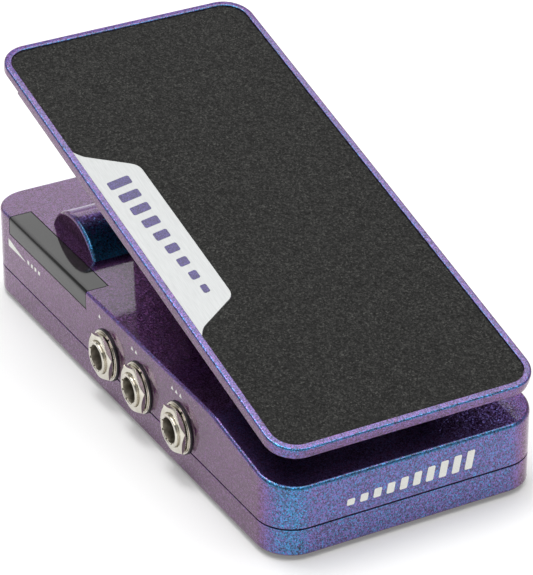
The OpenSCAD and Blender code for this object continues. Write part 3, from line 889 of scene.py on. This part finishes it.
def hex_nut(name, wall, side):
    """Hexagon nut with the round chamfer of a turned bar on its outer face."""
    low, high = GASKET_T + WASHER_T, STACK_T
    hex_r = NUT_AF / math.sqrt(3)
    turns = [math.radians(NUT_TURN + 60 * i) for i in range(6)]
    corners = [(wall[1] + hex_r * math.cos(a), wall[2] + hex_r * math.sin(a)) for a in turns]
    x0, x1 = sorted((wall[0] + side * low, wall[0] + side * high))
    nut = prism(name, 0, corners, x0, x1)
    # Cones that chamfer the outer face and, a little less high up, the inner one
    top_r, clear = NUT_AF / 2 - 0.15, 0.5
    back_r = top_r - 0.2
    spread = (high - low + clear) / 0.55
    bound = [(0, low - clear), (top_r + spread, low - clear), (top_r, high), (0, high)]
    back = [(0, high + clear), (back_r + spread, high + clear), (back_r, low), (0, low)]
    combine(nut, [revolve("bound", bound, wall, side, 96)], "INTERSECT")
    combine(nut, [revolve("back", back, wall, side, 96)], "INTERSECT")
    hole_r, mouth_r = BUSHING_R + 0.02, BUSHING_R + 0.3
    hole = [
        (0, low - 1), (hole_r, low - 1), (hole_r, high - 0.3), (mouth_r, high + 0.01),
        (mouth_r, high + 1), (0, high + 1),
    ]
    combine(nut, [revolve("hole", hole, wall, side, 72)], "DIFFERENCE")
    bevel(nut, 0.08, 40)
    return nut


# ---------------------------------------------------------------------------
# Treadle
# ---------------------------------------------------------------------------


def treadle_outline(inset):
    width, length = TREADLE_W - 2 * inset, TREADLE_L - 2 * inset
    return outline(width, length, TREADLE_R - inset, (-60, -30, 0, 30, 60), 14)


def treadle_ring(inset, height):
    return closed_ring(treadle_outline(inset), flat(height))


def build_treadle():
    """Treadle plate with a rim round the grip's recess, and under it a skirt and ribs."""
    foot_r, top_r, low_r, inner_r, skirt_in = 0.3, 0.6, 0.45, 0.25, 0.2
    low = -PLATE_T
    rings = [treadle_ring(foot_r * s, low + foot_r * c) for s, c in quarter(3)]
    rings += [treadle_ring(top_r * c, -top_r * s) for s, c in quarter(6)]
    rings += [treadle_ring(RIM_W - inner_r * s, -inner_r * c) for s, c in quarter(4)]
    rings.append(treadle_ring(RIM_W, -GRIP_RECESS))
    plate = skin_rings("treadle_deck", rings)

    skirt_low = low - SKIRT_T
    skirt = [treadle_ring(skirt_in + low_r * s, skirt_low + low_r * c) for s, c in quarter(4)]
    skirt.append(treadle_ring(skirt_in, low + 0.2))
    under = skin_rings("skirt", skirt)
    hollow = skin_rings("cut", [treadle_ring(SKIRT_W, skirt_low - 1), treadle_ring(SKIRT_W, low)])
    combine(under, [hollow], "DIFFERENCE")
    skirt_end = TREADLE_L / 2 - SKIRT_START
    keep = block("keep", (-TREADLE_W, -TREADLE_L, skirt_low - 2), (TREADLE_W, skirt_end, low + 1))
    combine(under, [keep], "INTERSECT")
    rib_low, rib_high = skirt_low + 0.05, low + 0.2
    ribs = [block("rib", (-38.5, u, rib_low), (38.5, u + 2, rib_high)) for u in (-46, -20)]
    ribs += [
        block("rib", (x - 1, -86, rib_low), (x + 1, skirt_end - 0.05, rib_high)) for x in (-31, 31)
    ]
    combine(plate, [under] + ribs, "UNION")
    shaded_under_faces = [face.index for face in plate.data.polygons if faces_down(face, low)]
    on_treadle(plate)
    finish_piece(plate, "treadle", PAINT, ["treadle_plate"])
    # The underside takes the black of painted shade
    plate.data.materials.append(UNDERSIDE_SHADE)
    for index in shaded_under_faces:
        plate.data.polygons[index].material_index = 1


def faces_down(face, low):
    """Whether a face of the deck, drawn in the treadle's frame, is on its underside, which is made black as
    painted shade.
    """
    x, y, z = face.center / MM
    beyond_x = max(0.0, abs(x) - (TREADLE_W / 2 - TREADLE_R))
    beyond_y = max(0.0, abs(y) - (TREADLE_L / 2 - TREADLE_R))
    inside = math.hypot(beyond_x, beyond_y) < TREADLE_R - 1.2
    return z < low + 0.1 and inside


LABEL_IN_X = -22.6
LABEL_HALF = 38.0
LABEL_HALF_IN = 28.4
LABEL_CORNER = 4.2
LABEL_OUT_X = -TREADLE_W / 2 + RIM_W + 0.1
FLARE_L, FLARE_RISE = 2.7, 1.6


def label_outline(grow):
    """Tab shape against the left rim, with round inner corners, grown by a margin."""
    slope = (LABEL_HALF - LABEL_HALF_IN) / (LABEL_IN_X - LABEL_OUT_X)
    lean = math.atan(slope)
    r = LABEL_CORNER + grow
    cx = LABEL_IN_X - LABEL_CORNER
    # The corner's centre keeps its distance from the straight end and from the slanted edge
    cy = LABEL_HALF_IN - LABEL_CORNER * (1 / math.cos(lean) - math.tan(lean))
    arc = [
        (cx + r * math.cos(a), cy + r * math.sin(a))
        for a in ((math.pi / 2 - lean) * i / 8 for i in range(9))
    ]
    # By the rim the slanted edge bends outwards
    x_end, y_end = LABEL_OUT_X, LABEL_HALF + grow / math.cos(lean)
    x_foot, y_foot = x_end + FLARE_L, y_end - FLARE_L * slope
    flare = [
        (x_foot + (x_end - x_foot) * t, y_foot + (y_end - y_foot) * t + FLARE_RISE * t * t)
        for t in (i / 6 for i in range(7))
    ]
    upper = arc + flare
    lower = [(x, -y) for x, y in reversed(upper)]
    return upper + lower


def grip_outline():
    chain = treadle_outline(RIM_W + 0.1)
    return chain + [(-x, y) for x, y in reversed(chain)]


# Mesh step of the grip sheet, and the rise and size of its coarse and fine relief
GRIP_STEP = 0.5
COARSE_RISE, COARSE_MM = 0.16, 0.62
FINE_RISE, FINE_MM = 0.08, 0.9


def build_grip():
    """Grit sheet: a dense skin with grains raised from it, cut out around the label."""
    base, top = -GRIP_RECESS, -GRIP_RECESS + 0.45
    sheet = prism("grip_sheet", 2, grip_outline(), base, top)
    cut = prism("cut", 2, label_outline(0.12), base - 1, top + 1)
    combine(sheet, [cut], "DIFFERENCE")
    bm = bmesh.new()
    bm.from_mesh(sheet.data)
    for normal, half in ((Vector((1, 0, 0)), TREADLE_W / 2), (Vector((0, 1, 0)), TREADLE_L / 2)):
        place = -half + GRIP_STEP
        while place < half:
            everything = bm.verts[:] + bm.edges[:] + bm.faces[:]
            bmesh.ops.bisect_plane(bm, geom=everything, plane_co=normal * (place * MM), plane_no=normal)
            place += GRIP_STEP
    bmesh.ops.triangulate(bm, faces=[f for f in bm.faces if len(f.verts) > 4])
    for v in bm.verts:
        if v.co.z > (top - 0.05) * MM:
            coarse = COARSE_RISE * noise.cell(v.co * (1 / (COARSE_MM * MM)))
            fine = FINE_RISE * noise.noise(v.co * (1 / (FINE_MM * MM)))
            v.co.z += (coarse + fine) * MM
    bm.to_mesh(sheet.data)
    bm.free()
    on_treadle(sheet)
    finish_piece(sheet, "treadle", GRIT, ["grip_pad"], angle=60)


def build_label():
    base, top = -GRIP_RECESS, -GRIP_RECESS + 0.5
    film = prism("label_film", 2, label_outline(0), base, top)
    bevel(film, 0.1, 50)
    on_treadle(film)
    finish_piece(film, "treadle", LABEL, ["label_plate"])
    count, pitch, thick, lean, foot_x, first = 9, 5.9, 3.2, 1.2, -27.6, 25.5
    shapes = []
    for i in range(count):
        u = first - pitch * i
        height = 2.0 + 5.2 * (count - 1 - i) / (count - 1)
        head_x, head = foot_x - height, u - lean * height / 7
        shapes.append([(foot_x, u), (head_x, head), (head_x, head - thick), (foot_x, u - thick)])
    bars = print_of("label_bars", 2, [rounded_quad(s, 0.55) for s in shapes], top - 0.05, top + 0.05)
    on_treadle(bars)
    finish_piece(bars, "treadle", DEEP_PAINT)


def rounded_quad(points, radius, steps=4):
    """Rounds the corners of a convex outline."""
    result = []
    count = len(points)
    for i in range(count):
        p = Vector(points[i])
        before = (Vector(points[i - 1]) - p).normalized()
        after = (Vector(points[(i + 1) % count]) - p).normalized()
        half = before.angle(after) / 2
        reach = radius / math.tan(half)
        centre = p + (before + after).normalized() * (radius / math.sin(half))
        start, end = p + before * reach - centre, p + after * reach - centre
        for k in range(steps + 1):
            direction = start.lerp(end, k / steps).normalized()
            result.append(tuple(centre + direction * radius))
    return result


# ---------------------------------------------------------------------------
# Prints on the walls
# ---------------------------------------------------------------------------


def side_print(name, shapes):
    """Flat print on the left wall, from outlines of (y, z) points."""
    wall = -BODY_W / 2
    piece = print_of(name, 0, shapes, wall - PRINT_OUT, wall + PRINT_IN)
    finish_piece(piece, "housing", PRINT)


def build_level_wedge():
    """Wedge and row of ticks beside the window."""
    low, side = 18.5, 1.2
    shapes = [[(74.3, 20.9), (74.3, 18.4), (62.5, 18.4)]]
    for y in (60.2, 57.8, 55.4, 53.0):
        shapes.append([(y, low), (y + side, low), (y + side, low + side), (y, low + side)])
    side_print("level_wedge", shapes)


def build_jack_marks():
    """One, two or three small triangles over the jacks of the left wall."""
    low, pitch, width, height = 24.2, 2.4, 1.4, 1.2
    for name, count in (("exp_jack", 1), ("output_jack", 2), ("tuner_jack", 3)):
        shapes = []
        for i in range(count):
            y = mount_yz(name)[0] + 3.4 - pitch * i
            shapes.append([(y, low), (y + width, low), (y + width / 2, low + height)])
        side_print(name + "_mark", shapes)


def build_heel_bars():
    """Row of rising, leaning bars on the heel wall."""
    count, pitch, width, lean, first, low = 10, 4.0, 2.3, 0.9, -19.9, 12.9
    shapes = []
    for i in range(count):
        x = first + pitch * i
        height = 1.9 + 3.7 * i / (count - 1)
        head_x, head = x + lean * height / 5, low + height
        shapes.append([(x, low), (x + width, low), (head_x + width, head), (head_x, head)])
    wall = -BODY_L / 2
    outlines = [rounded_quad(s, 0.4) for s in shapes]
    bars = print_of("heel_bars", 1, outlines, wall - PRINT_OUT, wall + PRINT_IN)
    finish_piece(bars, "housing", PRINT)


# ---------------------------------------------------------------------------
# CAD nodes that stay: material, and how wide their edges are eased
# ---------------------------------------------------------------------------

KEPT = {
    "treadle_neck": (PAINT, 0.7), "rubber_feet": (RUBBER, 0.3), "heel_bumpers": (RUBBER, 0.4),
    "base_screws": (STEEL, 0.1), "board_screws": (STEEL, 0.1), "cap_screws": (STEEL, 0.1),
    "left_bearing_cap": (STEEL, 0.3), "right_bearing_cap": (STEEL, 0.3),
    "left_bushing": (BRONZE, 0.15), "right_bushing": (BRONZE, 0.15),
    "pivot_shaft": (STEEL, 0.3), "shaft_clips": (STEEL, 0.1), "sector_gear": (WHITE_PLASTIC, 0.05),
    "pinion_gear": (WHITE_PLASTIC, 0.05), "sector_set_screw": (STEEL, 0.05),
    "neck_set_screw": (STEEL, 0.1), "neck_screws": (STEEL, 0.08),
    "sensor_body": (BLUE_PLASTIC, 0.2), "sensor_shaft": (STEEL, 0.15),
    "trim_pot": (BLUE_PLASTIC, 0.2), "trim_knob": (BLACK_PLASTIC, 0.12),
    "dc_socket": (BLACK_PLASTIC, 0.2), "dc_pin": (NICKEL, 0.15),
    "led_board": (BOARD, 0.05), "main_board": (BOARD, 0.1), "led_chips": (WHITE_PLASTIC, 0.1),
    "exp_jack_body": (BLACK_PLASTIC, 0.3), "output_jack_body": (BLACK_PLASTIC, 0.3),
    "tuner_jack_body": (BLACK_PLASTIC, 0.3), "input_jack_body": (BLACK_PLASTIC, 0.3),
}


def dress_node(node, material, width):
    obj = nodes[node]
    obj.data.materials.clear()
    obj.data.materials.append(material)
    for polygon in obj.data.polygons:
        polygon.material_index = 0
    weld = obj.modifiers.new("weld", "WELD")
    weld.merge_threshold = 2e-6
    planes = obj.modifiers.new("planes", "DECIMATE")
    planes.decimate_type = "DISSOLVE"
    planes.angle_limit = math.radians(1.5)
    add_bevel(obj, width, 40)
    add_weighted_normals(obj)


# ---------------------------------------------------------------------------
# Studio
# ---------------------------------------------------------------------------


def build_camera():
    """View from 28.9 degrees left of the heel and 29.4 degrees up."""
    azimuth, elevation = math.radians(-28.87), math.radians(29.35)
    distance = 1038.0
    target = Vector((51.76, 85.59, -26.52))
    level = math.cos(elevation)
    back = Vector((math.sin(azimuth) * level, -math.cos(azimuth) * level, math.sin(elevation)))
    data = bpy.data.cameras.new("camera")
    data.lens = 206.1
    data.sensor_width = 36
    data.clip_start, data.clip_end = 0.05, 20
    camera = bpy.data.objects.new("camera", data)
    scene.collection.objects.link(camera)
    camera.location = (target + back * distance) * MM
    camera.rotation_euler = back.to_track_quat("Z", "Y").to_euler()
    scene.camera = camera


def area_light(name, place, size, power):
    """Lamp at a place in metres, aimed at the middle of the floor."""
    data = bpy.data.lights.new(name, "AREA")
    data.shape = "RECTANGLE"
    data.size, data.size_y = size
    data.energy = power
    light = bpy.data.objects.new(name, data)
    scene.collection.objects.link(light)
    light.location = place
    light.rotation_euler = Vector(place).to_track_quat("Z", "Y").to_euler()


# Brightness of the studio from the horizon, at 0.5, up to straight overhead, at 1
WORLD_STOPS = ((0.5, 0.95), (0.62, 0.5), (0.75, 0.3), (1.0, 0.12))


def build_world():
    """A studio that is bright around the horizon and dark overhead."""
    world = bpy.data.worlds.new("studio")
    world.use_nodes = True
    nodes_of, link = world.node_tree.nodes, world.node_tree.links.new
    direction = nodes_of.new("ShaderNodeTexCoord")
    split = nodes_of.new("ShaderNodeSeparateXYZ")
    height = nodes_of.new("ShaderNodeMath")
    height.operation = "MULTIPLY_ADD"
    height.inputs[1].default_value = height.inputs[2].default_value = 0.5
    ramp = nodes_of.new("ShaderNodeValToRGB")
    elements = ramp.color_ramp.elements
    while len(elements) < len(WORLD_STOPS):
        elements.new(0.5)
    for element, (place, level) in zip(elements, WORLD_STOPS):
        element.position = place
        element.color = (level, level, level, 1)
    link(direction.outputs["Generated"], split.inputs[0])
    link(split.outputs["Z"], height.inputs[0])
    link(height.outputs[0], ramp.inputs[0])
    link(ramp.outputs[0], nodes_of["Background"].inputs[0])
    scene.world = world


def build_studio():
    """White paper floor that glows a little, which keeps its shadows light, and the lamps."""
    reach = 3000
    corners = [(-reach, -reach, 0), (reach, -reach, 0), (reach, reach, 0), (-reach, reach, 0)]
    floor = make_object("floor", corners, [(0, 1, 2, 3)])
    t = Tree("floor_paper")
    tones = ((0.3, (0.78, 0.78, 0.78)), (0.7, (0.80, 0.80, 0.80)))
    t.link(t.ramp(t.noise(400.0, 2.0), tones), t.shader.inputs["Base Color"])
    t.set(Roughness=0.9, Emission_Color=(1.0, 1.0, 1.0, 1.0), Emission_Strength=0.16)
    floor.data.materials.append(t.material)
    build_world()
    area_light("overhead", (0.0, 0.0, 1.5), (2.0, 2.0), 27)
    area_light("key", (-0.1, 0.2, 1.4), (0.3, 0.5), 5)
    area_light("back", (0.5, 1.5, 0.9), (2.4, 0.6), 5.4)
    scene.view_settings.view_transform = "Standard"


build_camera()
build_housing()
build_cover()
build_window()
for jack_name, jack_side in JACKS.items():
    build_jack(jack_name, jack_side)
build_treadle()
build_grip()
build_label()
build_level_wedge()
build_jack_marks()
build_heel_bars()
for node_name, (node_material, edge_width) in KEPT.items():
    dress_node(node_name, node_material, edge_width)
build_studio()
